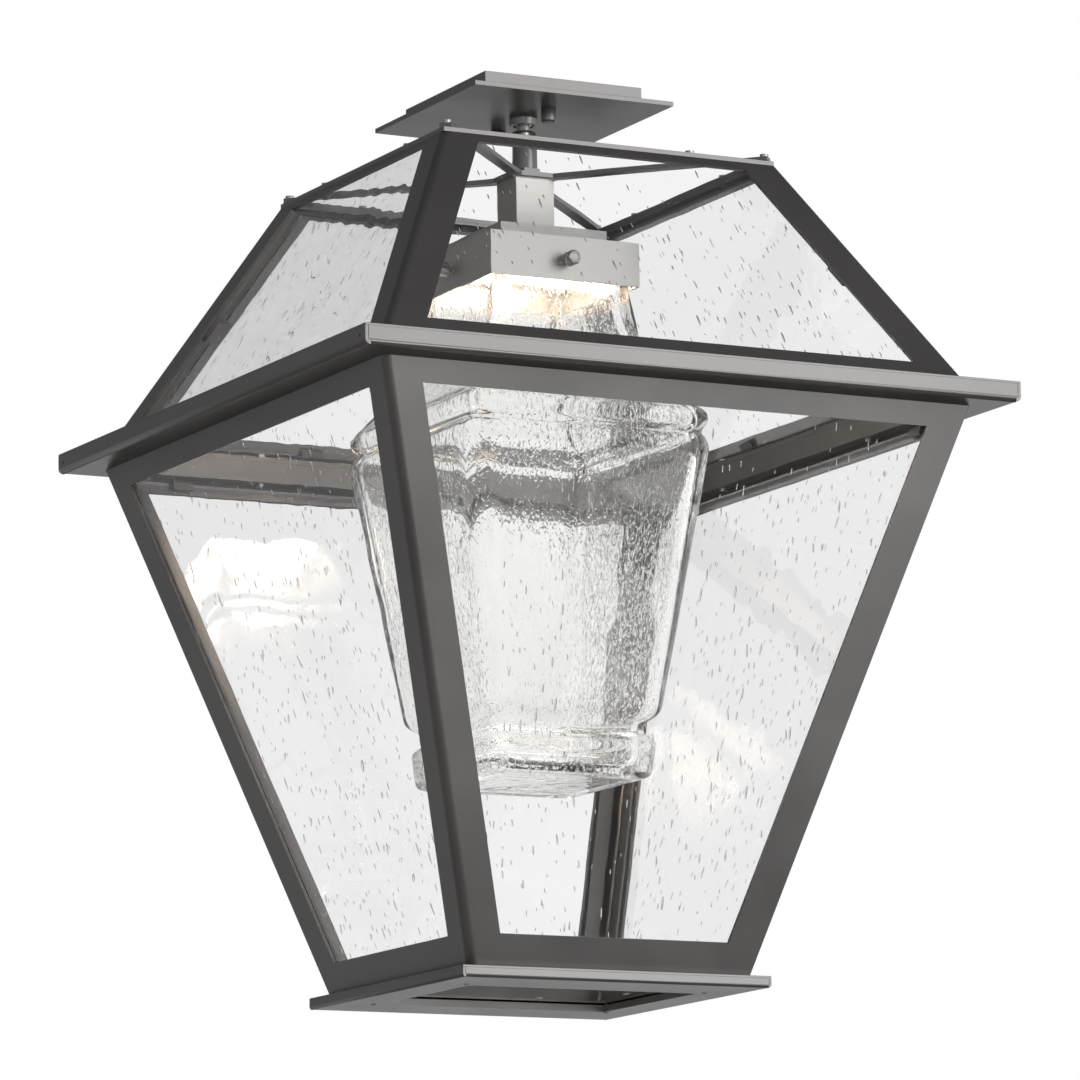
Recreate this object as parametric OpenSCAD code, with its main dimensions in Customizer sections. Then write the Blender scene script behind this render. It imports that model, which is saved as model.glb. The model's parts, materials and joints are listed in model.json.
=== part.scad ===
// Porch ceiling lantern: a square canopy and a ball swivel carry a short stem and a square column.
// The column carries a cut-off glazed hip roof, a folded brim, a tapered glazed body with a folded
// base, and in the middle a light fitter with a thick square moulded glass. Millimetres, +Z up, and
// the origin lies in the ceiling plane at the centre of the canopy.

/* [Canopy] */
// Side of the square canopy face plate
canopy_w = 143; // [125:1:200]
// Drop from the ceiling to the underside of the face plate
canopy_h = 14; // [12:0.5:30]
// Thickness of the face plate
canopy_plate_t = 3; // [2:0.5:4]
// Side of the inset tray above the face plate
canopy_tray_w = 113; // [110:1:120]
// Sheet thickness of the tray
canopy_tray_t = 1.5; // [1:0.1:2]
// Width of the lip that the tray turns in against the ceiling
canopy_lip_w = 3; // [2:0.5:3.5]
// Distance between the two studs that hold the canopy up
stud_spacing = 70; // [66:0.5:76]
// Diameter of the studs
stud_d = 4; // [3:0.1:5]
// Diameter of the two cap nuts
cap_nut_d = 9.6; // [8:0.1:14]
// Length of the two cap nuts
cap_nut_h = 9.6; // [6:0.1:16]

/* [Crossbar] */
// Length of the strap that is screwed to the ceiling box
crossbar_l = 104; // [100:1:104]
// Width of the strap
crossbar_w = 18; // [16:0.5:24]
// Thickness of the strap
crossbar_t = 2; // [1.5:0.1:3]
// Distance between the two ceiling box screws
box_screw_spacing = 88.9; // [88:0.1:92]
// Width of the slots for the ceiling box screws
box_slot_w = 4.8; // [4.2:0.1:5.4]
// Overall length of those slots
box_slot_l = 9; // [7:0.5:10]

/* [Swivel] */
// Diameter of the swivel ball
ball_d = 13; // [11:0.1:14]
// Thickness of the liner round the ball
liner_t = 0.9; // [0.7:0.1:1.2]
// Outside diameter of the collar that holds the ball
collar_d = 18.4; // [18:0.1:22]
// Length of the collar that shows below the face plate
collar_drop = 4.4; // [4:0.1:5]
// Diameter of the neck between the ball and the stem
neck_d = 9; // [7:0.1:9.4]
// Distance from the swivel's centre down to the top of the stem
neck_drop = 8.5; // [8:0.1:14]
// Running gap between the ball, the liner and the collar
swivel_gap = 0.3; // [0.1:0.05:0.4]

/* [Stem and column] */
// Diameter of the stem
stem_d = 16; // [14:0.5:16.5]
// Bore of the stem
stem_bore = 12; // [9.5:0.5:12.5]
// Drop from the face plate to the top of the spider
stem_drop = 39; // [34:1:300]
// Side of the square column
column_w = 27; // [27:0.5:32]
// Wall of the column
column_wall = 2; // [1.5:0.1:2]
// Length of the column
column_h = 37.3; // [32:0.1:60]

/* [Roof] */
// Side of the roof where it is cut off at the top
roof_top_w = 236; // [200:1:260]
// Height of the roof from the brim to the top ring
roof_h = 152; // [130:1:200]
// Width of the metal along the hips
hip_w = 23; // [16:0.5:30]
// Width of the rail along the foot of each roof side
roof_rail_w = 16; // [12:0.5:24]
// Width of the rail along the top of each roof side
roof_top_rail_w = 6; // [5:0.5:12]
// Width of the flat ring that closes the roof frames at the top
ring_w = 9; // [8:0.5:14]
// Thickness of the ring and of the spider
ring_t = 3; // [2:0.5:5]
// Side of the spider's hub
hub_w = 34; // [32:0.5:50]
// Width of the spider's four arms
arm_w = 8; // [7:0.5:14]

/* [Brim] */
// Side of the square brim, the widest part of the lantern
brim_w = 457; // [430:1:520]
// How far the brim stands out past the body
brim_overhang = 23.5; // [18:0.5:40]
// Height of the brim's edge, its cover included
brim_h = 13; // [11:0.5:25]
// Sheet thickness of the brim
brim_t = 2; // [1.5:0.1:2.5]
// Outside radius of the brim's folds
brim_bend_r = 3.5; // [3:0.1:5]
// How far the brim reaches in under the roof and over the body
brim_ledge = 14; // [13:0.5:20]
// Thickness of the sheets that cover the brim and the base
cover_t = 1.5; // [1:0.1:2]

/* [Body] */
// Side of the body on the base
body_bottom_w = 196; // [193:1:205]
// Height of the body
body_h = 352.5; // [330:0.5:420]
// Sheet thickness of the body and roof frames
sheet_t = 2; // [1.5:0.1:2.5]
// Outside radius of the two bent corners
bend_r = 5; // [3.5:0.5:8]
// Width of the metal along the corners of the body
post_w = 23; // [18:0.5:28]
// Width of the top rail of each body side
top_rail_w = 15; // [13:0.5:22]
// Width of the bottom rail of each body side
bottom_rail_w = 21; // [14:0.5:26]
// Width of the flanges that the frames turn in
flange_w = 10; // [8:0.5:11]
// Diameter of the bolts through the brim and of the base screws
bolt_d = 3; // [2.5:0.1:3.5]

/* [Glazing] */
// Thickness of the panes
pane_t = 3; // [2:0.5:4]
// Lap of the panes behind the frames
pane_lap = 7; // [5:0.5:8]
// Gap between a pane and what holds it
pane_gap = 0.2; // [0.1:0.05:0.4]
// Width of the glass stops and clips beside the pane
stop_w = 5; // [3:0.5:6]
// Thickness of the glass stops and clips
stop_t = 1.5; // [1:0.1:2.5]
// Length of a clip
clip_l = 14; // [8:1:30]

/* [Base] */
// How far the base stands out past the foot of the body
base_overhang = 10; // [8:0.5:20]
// Height of the base's edge
base_h = 7.4; // [6.5:0.1:12]
// How far the opening in the base keeps inside the foot of the body at its right and left
opening_side_in = 18; // [17.5:0.5:28]
// How far it keeps inside at the front and back
opening_front_in = 37; // [24:0.5:48]
// Diameter of the rivets beside the opening
rivet_d = 2.4; // [1.6:0.1:4]

/* [Light fitter] */
// Side of the fitter box
fitter_w = 107; // [106:0.5:115]
// Height of the fitter box
fitter_h = 28.5; // [27:0.5:40]
// Wall of the fitter box
fitter_wall = 1.5; // [1:0.1:2]
// Side of the plate between the column and the box
mid_w = 76.5; // [50:0.5:90]
// Height of that plate
mid_h = 9.7; // [8:0.1:16]
// Diameter of the knurled heads of the glass screws
knob_d = 8; // [7:0.1:10]
// Length of those heads
knob_l = 8; // [5:0.5:12]
// Diameter of the shanks of the glass screws
shank_d = 4; // [3:0.1:5]
// Length of bare shank between the box and the head
shank_l = 7; // [6.5:0.5:10]
// Height of the glass screws above the bottom of the box
screw_rise = 12.5; // [12:0.5:13.5]
// Thickness of the light board
board_t = 1.6; // [1:0.1:3]
// Side of the light board, its heat sink and its lens
board_w = 96; // [92:1:102]
// Thickness of the lens under the board
lens_t = 2.5; // [1.5:0.5:4]

/* [Moulded glass] */
// Width of the moulded glass at its neck
glass_neck_w = 98.6; // [97:0.1:99]
// Width of the square collar under the shoulders
glass_collar_w = 171; // [150:1:180]
// Width of the groove under the collar
glass_groove_w = 164; // [140:1:170]
// Greatest width, just under the groove
glass_w = 174; // [152:1:182]
// Width at the foot of the taper
glass_foot_w = 125; // [110:1:140]
// Width of the lower groove
glass_lower_groove_w = 107; // [90:1:118]
// Width of the ring at the bottom
glass_ring_w = 118; // [100:1:130]
// Height from the neck's rim down to the shoulder collar
glass_shoulder_drop = 95.5; // [90:0.5:120]
// Height of the shoulder collar
glass_collar_h = 15.5; // [10:0.5:24]
// Height of the tapered part
glass_taper_h = 165.5; // [140:0.5:190]
// Height of the lower groove
glass_lower_groove_h = 13.5; // [12:0.5:20]
// Height of the ring at the bottom
glass_ring_h = 26; // [20:1:36]
// Wall of the moulded glass
glass_wall = 4.5; // [3.5:0.5:6]
// Corner radius of the moulded glass
glass_corner_r = 12; // [10:0.5:20]

/* [Hidden] */

$fn = 64;
cut = 1;               // how far a cutter runs past the face that it cuts
far = 1000;            // larger than the lantern
fit_gap = 0.3;         // loose fit of a bolt in its hole
running_gap = 0.08;    // fit of a shank that slides in its hole
front = 0;             // the four sides, counted round from the front
right = 1;
back = 2;
left = 3;

// Colours
finish = [0.30, 0.30, 0.30];
silver = [0.80, 0.80, 0.79];
zinc = [0.72, 0.72, 0.70];
earth_green = [0.15, 0.45, 0.25];
seeded = [0.90, 0.93, 0.94, 0.35];
board_white = [0.94, 0.93, 0.90];
warm = [1.00, 0.93, 0.78];
gasket_grey = [0.75, 0.75, 0.73];

// Widths that follow from the brim's and from the foot of the body
body_top_w = brim_w - 2 * brim_overhang;
roof_base_w = body_top_w - 1;
brim_opening_w = body_top_w - 2 * brim_ledge;
base_w = body_bottom_w + 2 * base_overhang;
base_opening_w = body_bottom_w - 2 * opening_side_in;
base_opening_d = body_bottom_w - 2 * opening_front_in;

// Levels, from the ceiling down
plate_z = -canopy_h;
pivot_z = plate_z;
stem_z = pivot_z - neck_drop;
spider_z = plate_z - stem_drop;
ring_z = spider_z - ring_t;
roof_top_z = ring_z - ring_t;
brim_top_z = roof_top_z - roof_h;
brim_z = brim_top_z - brim_h;
base_top_z = brim_z - body_h;
base_z = base_top_z - base_h;
column_z = ring_z;
mid_top_z = column_z - column_h;
fitter_top_z = mid_top_z - mid_h;
fitter_z = fitter_top_z - fitter_h;

// Slopes of the roof and of the body from the vertical, and lengths down them
roof_tilt = -atan((roof_base_w - roof_top_w) / 2 / roof_h);
body_tilt = atan((body_top_w - body_bottom_w) / 2 / body_h);
roof_slope = roof_h / cos(roof_tilt);
body_slope = body_h / cos(body_tilt);

// Flanges and the lines of screws through them, as distances from the centre
ring_screw_y = roof_top_w / 2 - ring_w / 2;
ring_screw_x = roof_top_w / 4;
spider_screw_r = ring_screw_y * sqrt(2);
brim_bolt_y = brim_opening_w / 2 + brim_t + bolt_d / 2 + 2;
brim_bolt_x = brim_opening_w / 4;
base_flange_y = body_bottom_w / 2 - flange_w - sheet_t;
base_screw_y = base_flange_y + flange_w / 2;
base_screw_x = body_bottom_w / 4;
head_h = 2;
nut_h = 2.4;
screw_d = 3;
head_d = 5.6;

// Glazing: depths behind the outside of a side
pane_in = sheet_t + pane_gap;
lip_in = pane_in + pane_t + pane_gap;
roof_pane_lap = 3;     // lap over the narrow top rail
roof_clip_x = roof_top_w / 4;
body_clip_top_x = body_top_w / 2 - 2 * post_w - clip_l / 2;
body_clip_foot_x = body_bottom_w / 4;

// Swivel and stem
liner_r = ball_d / 2 + swivel_gap + liner_t;
socket_r = liner_r + swivel_gap;
liner_low = 3.4;
liner_high = 2.6;
collar_flange_w = 4;
collar_flange_d = collar_d + 2 * collar_flange_w;
collar_flange_t = 1.6;
wire_bore = 5;
stem_cap_t = 6;
stem_end = 14;         // length of stem below the top of the column
column_cap_t = 3;
stem_nut_t = 4;
stem_nut_d = stem_d + 6;

// Fitter
nipple_d = 10;
nipple_nut_t = 4;
nipple_nut_d = 18;
sink_h = 5;
sink_top_z = fitter_top_z - fitter_wall;
board_z = sink_top_z - sink_h - board_t;
lens_z = board_z - lens_t;
gasket_t = 1;
screw_z = fitter_z + screw_rise;

// Moulded glass
rim_z = lens_z - gasket_t;
neck_h = 24;
rim_lip = 1;
rim_lip_h = 2;
shoulder_in = 6;
collar_z = rim_z - glass_shoulder_drop;
groove_z = collar_z - glass_collar_h;
bead_z = groove_z - 3.5;
bead_h = 11;
foot_z = bead_z - bead_h - glass_taper_h;
ring_in_z = foot_z - glass_lower_groove_h;
glass_ring_z = ring_in_z - 3;
glass_z = glass_ring_z - glass_ring_h;
neck_r = 5;
glass_floor = 7;
// Rings of the outside, from the rim down: level, half width, corner radius
glass_outside = concat(
    [[rim_z, glass_neck_w / 2 + rim_lip, neck_r],
     [rim_z - rim_lip_h, glass_neck_w / 2 + rim_lip, neck_r],
     [rim_z - rim_lip_h - 0.4, glass_neck_w / 2, neck_r]],
    // The shoulders flare out in a quarter wave from the neck to the collar
    [for (i = [0:6]) [rim_z - neck_h - (glass_shoulder_drop - neck_h) * i / 6,
        glass_neck_w / 2 + ((glass_collar_w - glass_neck_w) / 2 - shoulder_in) * (1 - cos(i * 15)),
        neck_r + i / 6]],
    // The square collar, and the groove under it
    [[collar_z - 3, glass_collar_w / 2 - 2, neck_r + 1], [collar_z - 6.5, glass_collar_w / 2, 6],
     [groove_z + 2.5, glass_collar_w / 2 - 1, 6], [groove_z, glass_groove_w / 2, 6],
     [bead_z, glass_groove_w / 2, 7]],
    // A bead rounds off the top of the taper
    [for (a = [30, 60, 90]) [bead_z - bead_h * (1 - cos(a)),
        glass_groove_w / 2 + (glass_w - glass_groove_w) / 2 * sin(a), glass_corner_r * 0.8]],
    // The taper, the lower groove and the bottom ring
    [[foot_z, glass_foot_w / 2, glass_corner_r], [foot_z - 3, glass_foot_w / 2 - 3, glass_corner_r],
     [foot_z - 7, glass_lower_groove_w / 2, glass_corner_r],
     [ring_in_z, glass_lower_groove_w / 2, glass_corner_r],
     [glass_ring_z, glass_ring_w / 2 - 1, glass_corner_r],
     [glass_ring_z - 3, glass_ring_w / 2, glass_corner_r],
     [glass_z + 4, glass_ring_w / 2 - 2, glass_corner_r],
     [glass_z, glass_ring_w / 2 - 7, glass_corner_r]]);
// Rings of the inside: the same outline one wall in, without the rim's lip and the bottom ring
glass_inside = concat(
    [[rim_z + cut, glass_neck_w / 2 - glass_wall, neck_r - 2]],
    [for (ring = glass_outside) if (ring[0] < rim_z - rim_lip_h - cut && ring[0] > foot_z + cut)
        [ring[0], ring[1] - glass_wall, max(1.5, ring[2] - glass_wall)]],
    [[foot_z + 2, glass_foot_w / 2 - glass_wall, glass_corner_r - glass_wall],
     [foot_z - 5, glass_lower_groove_w / 2 - glass_wall, glass_corner_r - glass_wall],
     [glass_z + glass_floor + 6, glass_lower_groove_w / 2 - glass_wall, glass_corner_r - glass_wall],
     [glass_z + glass_floor, glass_lower_groove_w / 2 - glass_wall - 5, glass_corner_r - glass_wall]]);

// ---- shapes that repeat ----

// Points of a square of half width h with round corners of radius r, n steps to a corner
function round_square(h, r, n = 6) = [for (q = [0:3], i = [0:n])
    let (a = q * 90 + i * 90 / n, s = [[1, 1], [-1, 1], [-1, -1], [1, -1]][q])
    [s[0] * (h - r) + r * cos(a), s[1] * (h - r) + r * sin(a)]];

// Points of a square bent to radius r at its front and back corners and sharp at the other two
function bent_square(h, r, n = 6) = concat(
    [for (i = [0:n]) let (a = i * 90 / n) [h - r + r * cos(a), h - r + r * sin(a)]], [[-h, h]],
    [for (i = [0:n]) let (a = 180 + i * 90 / n) [-h + r + r * cos(a), -h + r + r * sin(a)]],
    [[h, -h]]);

// Solid through a stack of rings, each [level, points], from the highest to the lowest
module loft(rings) {
    n = len(rings[0][1]);
    last = len(rings) - 1;
    points = [for (ring = rings, p = ring[1]) [p[0], p[1], ring[0]]];
    walls = [for (k = [0:last - 1], i = [0:n - 1]) let (j = (i + 1) % n)
        each [[k * n + i, k * n + j, (k + 1) * n + j], [k * n + i, (k + 1) * n + j, (k + 1) * n + i]]];
    lid = [for (i = [1:n - 2]) [0, i + 1, i]];
    floor = [for (i = [1:n - 2]) [last * n, last * n + i, last * n + i + 1]];
    polyhedron(points, concat(walls, lid, floor), convexity = 8);
}

// Puts children on a side of a tapered square: x runs along the side, y down its slope from the
// top edge, and z into the lantern
module on_side(side, top_w, z, tilt)
    rotate([0, 0, 90 * side]) translate([0, -top_w / 2, z]) rotate([tilt - 90, 0, 0]) children();

// Half width of a side at distance s down its slope, edge_w in from its sloping edges
function half_at(top_w, tilt, s, edge_w) =
    top_w / 2 - s * sin(tilt) - edge_w * sqrt(1 + pow(sin(tilt), 2));

// Trapezoid on a side, edge_w in from its sloping edges, from s0 to s1 down the slope
module side_panel(top_w, tilt, edge_w, s0, s1) {
    x0 = half_at(top_w, tilt, s0, edge_w);
    x1 = half_at(top_w, tilt, s1, edge_w);
    polygon([[-x0, s0], [x0, s0], [x1, s1], [-x1, s1]]);
}

// Strip along a side's right-hand edge, from w0 to w1 in from it
module edge_strip(top_w, tilt, w0, w1, s0, s1)
    polygon([[half_at(top_w, tilt, s0, w1), s0], [half_at(top_w, tilt, s0, w0), s0],
             [half_at(top_w, tilt, s1, w0), s1], [half_at(top_w, tilt, s1, w1), s1]]);

// Walls of a square box, w across
module square_walls(w, wall, h) difference() {
    translate([-w / 2, -w / 2, 0]) cube([w, w, h]);
    translate([-w / 2 + wall, -w / 2 + wall, -cut]) cube([w - 2 * wall, w - 2 * wall, h + 2 * cut]);
}

// Two cutters or fasteners on each of the four sides
module on_sides_in_pairs(x, y, z)
    for (side = [front:left], s = [-1, 1]) rotate([0, 0, 90 * side]) translate([s * x, -y, z])
        children();

// Loose bolt holes through a sheet of thickness t whose underside is at z
module bolt_holes(x, y, z, t)
    on_sides_in_pairs(x, y, z - cut) cylinder(d = bolt_d + 2 * fit_gap, h = t + 2 * cut);

// Sheet frame of four tapered sides with a window in each, and flanges turned in at both ends as
// far as the square openings inner_top and inner_bottom
module sheet_frame(top_w, bottom_w, z, h, tilt, edge_w, rail_top, rail_bottom,
                   inner_top, inner_bottom) {
    inside = 2 * sheet_t / cos(tilt);
    slant = 2 * cut * tan(tilt);
    difference() {
        loft([[z, bent_square(top_w / 2, bend_r)], [z - h, bent_square(bottom_w / 2, bend_r)]]);
        intersection() {
            loft([[z + cut, bent_square((top_w - inside + slant) / 2, bend_r - sheet_t)],
                  [z - h - cut, bent_square((bottom_w - inside - slant) / 2, bend_r - sheet_t)]]);
            union() {
                translate([-far / 2, -far / 2, z - h + sheet_t]) cube([far, far, h - 2 * sheet_t]);
                square_hole(inner_top, z - sheet_t - cut, z + 2 * cut);
                square_hole(inner_bottom, z - h - 2 * cut, z - h + sheet_t + cut);
            }
        }
        for (side = [front:left]) on_side(side, top_w, z, tilt)
            translate([0, 0, -sheet_t]) linear_extrude(3 * sheet_t)
                side_panel(top_w, tilt, edge_w, rail_top, h / cos(tilt) - rail_bottom);
    }
}

module square_hole(w, z0, z1) translate([-w / 2, -w / 2, z0]) cube([w, w, z1 - z0]);

// The half of a frame with the front and left sides, or the half with the back and right sides
module frame_half(is_front) intersection() {
    children();
    rotate([0, 0, 45]) translate([is_front ? -far - fit_gap / 2 : fit_gap / 2, -far / 2, -far])
        cube([far, far, far]);
}

// Folded square pan: a sheet with an opening, edges folded up to h, and a flange round the opening
module folded_pan(w, h, t, r, open_w, open_d, flange_h) difference() {
    union() {
        translate([-w / 2 + r, -w / 2 + r, 0]) cube([w - 2 * r, w - 2 * r, t]);
        for (a = [0, 180]) rotate([0, 0, a]) fold(w, h, t, r, w);
        for (a = [90, 270]) rotate([0, 0, a]) fold(w, h, t, r, w - 2 * t - 2 * fit_gap);
        translate([-open_w / 2 - t, -open_d / 2 - t, 0])
            cube([open_w + 2 * t, open_d + 2 * t, flange_h]);
    }
    translate([-open_w / 2, -open_d / 2, -cut]) cube([open_w, open_d, flange_h + 2 * cut]);
}

// One folded edge of such a pan, on its +X side
module fold(w, h, t, r, length) translate([w / 2 - r, length / 2, r]) rotate([90, 0, 0])
    linear_extrude(length) {
        difference() {
            circle(r);
            circle(r - t);
            translate([-2 * r, -2 * r]) square([2 * r, 4 * r]);
            translate([-2 * r, 0]) square([4 * r, 2 * r]);
        }
        translate([r - t, 0]) square([t, h - r]);
    }

// Retainer beside a pane's sloping edge: a foot on the frame and a lip over the glass
module edge_retainer(top_w, tilt, edge_w, s0, s1) {
    pane_edge = edge_w - pane_lap;
    foot = pane_edge - pane_gap - stop_w;
    translate([0, 0, sheet_t]) linear_extrude(lip_in - sheet_t + stop_t)
        edge_strip(top_w, tilt, foot, pane_edge - pane_gap, s0, s1);
    translate([0, 0, lip_in]) linear_extrude(stop_t)
        edge_strip(top_w, tilt, foot, pane_edge + stop_w, s0, s1);
}

// The same on both sloping edges
module edge_retainers(top_w, tilt, edge_w, s0, s1)
    for (m = [0, 1]) mirror([m, 0, 0]) edge_retainer(top_w, tilt, edge_w, s0, s1);

// Clip over a pane's top edge at s, or over its bottom edge where flip is 1
module rail_clip(x, s, flip) translate([x - clip_l / 2, s, 0]) mirror([0, flip, 0]) {
    translate([0, -pane_gap - stop_t, sheet_t]) cube([clip_l, stop_t, lip_in - sheet_t + stop_t]);
    translate([0, -pane_gap - stop_t, lip_in]) cube([clip_l, stop_w + stop_t, stop_t]);
}

// Hexagon nut, d across its corners
module hex_nut(d, bore, h) difference() {
    cylinder(d = d, h = h, $fn = 6);
    translate([0, 0, -cut]) cylinder(d = bore, h = h + 2 * cut);
}

// ---- ceiling canopy ----

module canopy_plate() color(finish) translate([0, 0, plate_z]) difference() {
    translate([-canopy_w / 2, -canopy_w / 2, 0]) cube([canopy_w, canopy_w, canopy_plate_t]);
    translate([0, 0, -cut]) cylinder(d = collar_d, h = canopy_plate_t + 2 * cut);
    for (s = [-1, 1]) translate([0, s * stud_spacing / 2, -cut])
        cylinder(d = stud_d + 2 * fit_gap, h = canopy_plate_t + 2 * cut);
}

module canopy_tray() color(finish) {
    tray_z = plate_z + canopy_plate_t;
    translate([0, 0, tray_z]) square_walls(canopy_tray_w, canopy_tray_t, -tray_z);
    translate([0, 0, -canopy_tray_t]) square_walls(canopy_tray_w, canopy_lip_w, canopy_tray_t);
}

ground_screw_y = 18;
ground_screw_d = 3.5;

module mounting_crossbar() color(zinc) translate([0, 0, -crossbar_t]) difference() {
    translate([-crossbar_w / 2, -crossbar_l / 2, 0]) cube([crossbar_w, crossbar_l, crossbar_t]);
    for (s = [-1, 1]) translate([0, s * box_screw_spacing / 2, -cut]) {
        for (e = [-1, 1]) translate([0, e * (box_slot_l - box_slot_w) / 2, 0])
            cylinder(d = box_slot_w, h = crossbar_t + 2 * cut);
        translate([-box_slot_w / 2, -(box_slot_l - box_slot_w) / 2, 0])
            cube([box_slot_w, box_slot_l - box_slot_w, crossbar_t + 2 * cut]);
    }
    for (s = [-1, 1]) translate([0, s * stud_spacing / 2, -cut])
        cylinder(d = stud_d, h = crossbar_t + 2 * cut);
    translate([0, 0, -cut]) cylinder(d = nipple_d, h = crossbar_t + 2 * cut);
    translate([0, ground_screw_y, -cut]) cylinder(d = ground_screw_d, h = crossbar_t + 2 * cut);
}

stud_in_nut = 6;       // how far a stud reaches into its cap nut

module mounting_studs() color(zinc) for (s = [-1, 1])
    translate([0, s * stud_spacing / 2, plate_z - stud_in_nut])
        cylinder(d = stud_d, h = canopy_h + stud_in_nut);

module canopy_cap_nuts() color(finish) for (s = [-1, 1])
    translate([0, s * stud_spacing / 2, plate_z - cap_nut_h]) difference() {
        rounded_end = 1;
        union() {
            cylinder(d1 = cap_nut_d - 2 * rounded_end, d2 = cap_nut_d, h = rounded_end);
            translate([0, 0, rounded_end]) cylinder(d = cap_nut_d, h = cap_nut_h - rounded_end);
        }
        translate([0, 0, cap_nut_h - stud_in_nut]) cylinder(d = stud_d, h = stud_in_nut + cut);
    }

module ground_screw() color(earth_green) translate([0, ground_screw_y, -crossbar_t]) {
    cylinder(d = ground_screw_d, h = crossbar_t);
    translate([0, 0, -head_h]) cylinder(d = 2 * ground_screw_d, h = head_h);
}

// ---- swivel ----

module swivel_collar() color(finish) difference() {
    union() {
        translate([0, 0, plate_z - collar_drop])
            cylinder(d = collar_d, h = collar_drop + canopy_plate_t);
        translate([0, 0, plate_z + canopy_plate_t])
            cylinder(d = collar_flange_d, h = collar_flange_t);
    }
    translate([0, 0, pivot_z]) {
        sphere(r = socket_r);
        cylinder(r = socket_r, h = canopy_h);
    }
}

module swivel_liner() color(silver) translate([0, 0, pivot_z]) intersection() {
    difference() {
        sphere(r = liner_r);
        sphere(r = liner_r - liner_t);
    }
    translate([-far / 2, -far / 2, -liner_low]) cube([far, far, liner_low + liner_high]);
}

module swivel_ball() color(zinc) difference() {
    union() {
        translate([0, 0, pivot_z]) sphere(d = ball_d);
        translate([0, 0, stem_z - stem_cap_t]) cylinder(d = neck_d, h = neck_drop + stem_cap_t);
    }
    translate([0, 0, stem_z - stem_cap_t - cut])
        cylinder(d = wire_bore, h = neck_drop + stem_cap_t + ball_d);
}

// ---- stem and column ----

module stem_tube() color(finish) difference() {
    bottom_z = column_z - stem_end;
    edge = 0.8;
    union() {
        translate([0, 0, bottom_z]) cylinder(d = stem_d, h = stem_z - edge - bottom_z);
        translate([0, 0, stem_z - edge]) cylinder(d1 = stem_d, d2 = stem_d - 2 * edge, h = edge);
    }
    translate([0, 0, bottom_z - cut]) cylinder(d = stem_bore, h = stem_z - stem_cap_t - bottom_z + cut);
    translate([0, 0, bottom_z]) cylinder(d = neck_d, h = stem_z - bottom_z + cut);
}

module stem_top_nut() color(finish)
    translate([0, 0, spider_z]) hex_nut(stem_nut_d, stem_d, stem_nut_t);

module stem_locknut() color(zinc)
    translate([0, 0, column_z - column_cap_t - stem_nut_t]) hex_nut(stem_nut_d, stem_d, stem_nut_t);

module column_tube() color(silver) translate([0, 0, mid_top_z]) {
    square_walls(column_w, column_wall, column_h);
    difference() {
        for (z = [0, column_h - column_cap_t]) translate([-column_w / 2, -column_w / 2, z])
            cube([column_w, column_w, column_cap_t]);
        translate([0, 0, -cut]) cylinder(d = nipple_d, h = column_cap_t + 2 * cut);
        translate([0, 0, column_h - column_cap_t - cut])
            cylinder(d = stem_d, h = column_cap_t + 2 * cut);
    }
}

// ---- roof ----

// One laser-cut sheet: a hub round the stem and an arm to each corner of the ring
module roof_spider() color(finish) translate([0, 0, ring_z]) difference() {
    reach = spider_screw_r + screw_d;
    union() {
        translate([-hub_w / 2, -hub_w / 2, 0]) cube([hub_w, hub_w, ring_t]);
        for (a = [45, 135]) rotate([0, 0, a]) translate([-reach, -arm_w / 2, 0])
            cube([2 * reach, arm_w, ring_t]);
    }
    translate([0, 0, -cut]) cylinder(d = stem_d, h = ring_t + 2 * cut);
    for (a = [45:90:315]) rotate([0, 0, a]) translate([spider_screw_r, 0, -cut])
        cylinder(d = screw_d, h = ring_t + 2 * cut);
}

module spider_screws() color(zinc) for (a = [45:90:315])
    rotate([0, 0, a]) translate([spider_screw_r, 0, roof_top_z]) {
        cylinder(d = screw_d, h = 2 * ring_t);
        translate([0, 0, 2 * ring_t]) cylinder(d = head_d, h = head_h);
    }

module roof_top_ring() color(finish) translate([0, 0, roof_top_z]) difference() {
    square_walls(roof_top_w, ring_w, ring_t);
    for (a = [45:90:315]) rotate([0, 0, a]) translate([spider_screw_r, 0, -cut])
        cylinder(d = screw_d, h = ring_t + 2 * cut);
    on_sides_in_pairs(ring_screw_x, ring_screw_y, -cut) cylinder(d = screw_d, h = ring_t + 2 * cut);
}

module ring_screws() color(zinc)
    on_sides_in_pairs(ring_screw_x, ring_screw_y, roof_top_z - sheet_t) {
        cylinder(d = screw_d, h = sheet_t + ring_t);
        translate([0, 0, sheet_t + ring_t]) cylinder(d = head_d, h = head_h);
    }

module roof_frame(is_front) color(finish) frame_half(is_front) difference() {
    sheet_frame(roof_top_w, roof_base_w, roof_top_z, roof_h, roof_tilt, hip_w, roof_top_rail_w,
        roof_rail_w, roof_top_w - 2 * ring_w, brim_opening_w);
    on_sides_in_pairs(ring_screw_x, ring_screw_y, roof_top_z - sheet_t - cut)
        cylinder(d = screw_d, h = sheet_t + 2 * cut);
    bolt_holes(brim_bolt_x, brim_bolt_y, brim_top_z, sheet_t);
}

module roof_frame_front() roof_frame(true);
module roof_frame_back() roof_frame(false);

roof_pane_top = roof_top_rail_w - roof_pane_lap;
roof_pane_foot = roof_slope - roof_rail_w + pane_lap;

module roof_pane(side) color(seeded) on_side(side, roof_top_w, roof_top_z, roof_tilt)
    translate([0, 0, pane_in]) linear_extrude(pane_t)
        side_panel(roof_top_w, roof_tilt, hip_w - pane_lap, roof_pane_top, roof_pane_foot);

module roof_pane_front() roof_pane(front);
module roof_pane_right() roof_pane(right);
module roof_pane_back() roof_pane(back);
module roof_pane_left() roof_pane(left);

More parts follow.
